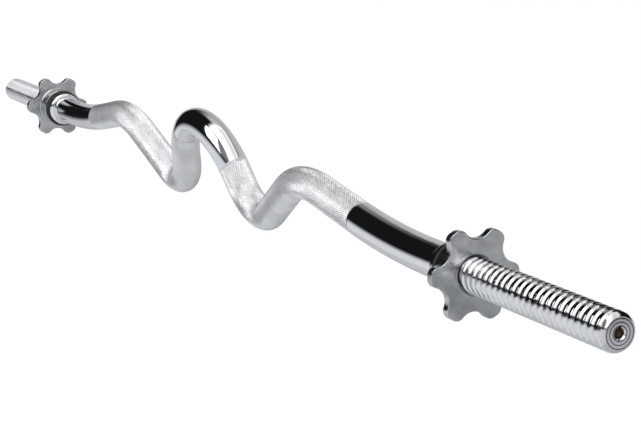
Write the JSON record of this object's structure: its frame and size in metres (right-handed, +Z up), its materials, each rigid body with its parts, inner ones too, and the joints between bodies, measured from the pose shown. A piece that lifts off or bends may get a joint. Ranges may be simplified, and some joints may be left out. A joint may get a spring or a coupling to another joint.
{
  "type": "ez curl bar",
  "caption": "W-bent steel curl bar with knurled grips, threaded sleeves for weight plates, stop collars and screw-on star nuts with rubber rings.",
  "frame": {"origin": "on the common axis of the sleeves, halfway along the bar", "axes": "+X along the sleeves towards the right end, +Z up from the floor that the bar lies on, with the crests of the W leaning towards +Y"},
  "size_m": [1.2, 0.0733, 0.0705],
  "materials": {
    "bar": "bright chrome plate, satin on the knurl",
    "collar": "bright chrome plate",
    "nut": "chrome plate over a cast surface",
    "rubber": "matt black"
  },
  "bodies": {
    "bar": {"bar": "bar", "right_stop_collar": "collar", "left_stop_collar": "collar"},
    "right_ring": {"right_rubber_ring": "rubber"},
    "right_nut": {"right_star_nut": "nut"},
    "left_ring": {"left_rubber_ring": "rubber"},
    "left_nut": {"left_star_nut": "nut"}
  },
  "joints": [
    {"name": "right_ring_slide", "type": "slide", "parent": "bar", "child": "right_ring", "axis": [1, 0, 0], "range_m": [0, 0.156]},
    {"name": "right_nut_spin", "type": "hinge", "parent": "right_ring", "child": "right_nut", "pos_m": [0.43, 0, 0], "axis": [1, 0, 0], "range_deg": [0, 8640]},
    {"name": "left_ring_slide", "type": "slide", "parent": "bar", "child": "left_ring", "axis": [-1, 0, 0], "range_m": [0, 0.156]},
    {"name": "left_nut_spin", "type": "hinge", "parent": "left_ring", "child": "left_nut", "pos_m": [-0.43, 0, 0], "axis": [-1, 0, 0], "range_deg": [0, 8640]}
  ],
  "couplings": [
    {"joint": "right_ring_slide", "follows": "right_nut_spin", "m_per_rad": 0.0010345},
    {"joint": "left_ring_slide", "follows": "left_nut_spin", "m_per_rad": 0.0010345}
  ]
}
